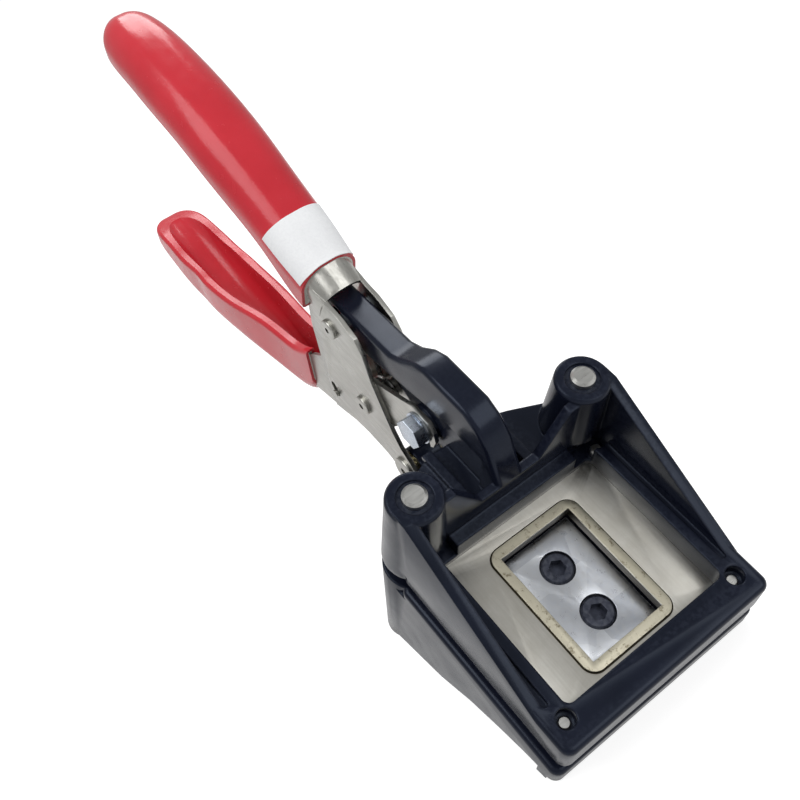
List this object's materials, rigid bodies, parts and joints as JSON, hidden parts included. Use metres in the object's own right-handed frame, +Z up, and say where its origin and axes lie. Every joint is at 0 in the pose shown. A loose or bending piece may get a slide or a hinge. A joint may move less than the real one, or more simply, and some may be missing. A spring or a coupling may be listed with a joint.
{
  "type": "photo punch",
  "caption": "Hand-held photo punch with a square die window, guide posts and two red dipped handles.",
  "frame": {"origin": "centre of the bounding box at the plane of the feet", "axes": "+X toward the front edge of the die head, +Y toward the right guide post, +Z up"},
  "size_m": [0.2454, 0.066, 0.158],
  "materials": {
    "casting_paint": "glossy navy-black enamel over cast iron",
    "plated_steel": "nickel-plated pressed steel",
    "ground_steel": "ground and brushed tool steel",
    "polished_steel": "polished",
    "zinc_steel": "bright zinc plate",
    "yellow_zinc": "yellow zinc plate",
    "black_oxide": "black oxide or dark paint",
    "spring_steel": "oiled spring wire",
    "red_pvc": "dipped glossy vinyl",
    "label_paper": "plain white band"
  },
  "bodies": {
    "frame": {"lower_casting": "casting_paint", "punch_block": "polished_steel", "punch_screws": "black_oxide", "guide_post_right": "ground_steel", "guide_post_left": "ground_steel", "handle_channel": "plated_steel", "long_grip": "red_pvc", "size_label": "label_paper", "arm_guide_rivet": "plated_steel", "lever_pivot_rivet": "plated_steel", "front_pin": "plated_steel", "arm_guide_washers": "zinc_steel", "front_pin_washers": "yellow_zinc", "spring_spool": "ground_steel"},
    "die_head": {"upper_casting": "casting_paint", "die_plate": "ground_steel", "die_plate_screws": "ground_steel", "guide_bush_right": "black_oxide", "guide_bush_left": "black_oxide", "drive_bolt": "zinc_steel", "drive_nut": "zinc_steel", "drive_washers": "zinc_steel"},
    "lever": {"lever_channel": "plated_steel", "lever_grip": "red_pvc", "spring_pin": "plated_steel", "return_spring": "spring_steel"}
  },
  "joints": [
    {"name": "lever_pivot", "type": "hinge", "parent": "frame", "child": "lever", "pos_m": [0.01999, 0, 0.05384], "axis": [0, 1, 0], "range_deg": [0, 7.9], "stiffness_Nm_per_rad": 2, "springref_deg": -17.19},
    {"name": "die_slide", "type": "slide", "parent": "frame", "child": "die_head", "axis": [-0.4594, 0, -0.8882], "range_m": [0, 0.0045]}
  ],
  "couplings": [
    {"joint": "die_slide", "follows": "lever_pivot", "m_per_rad": 0.03262}
  ]
}
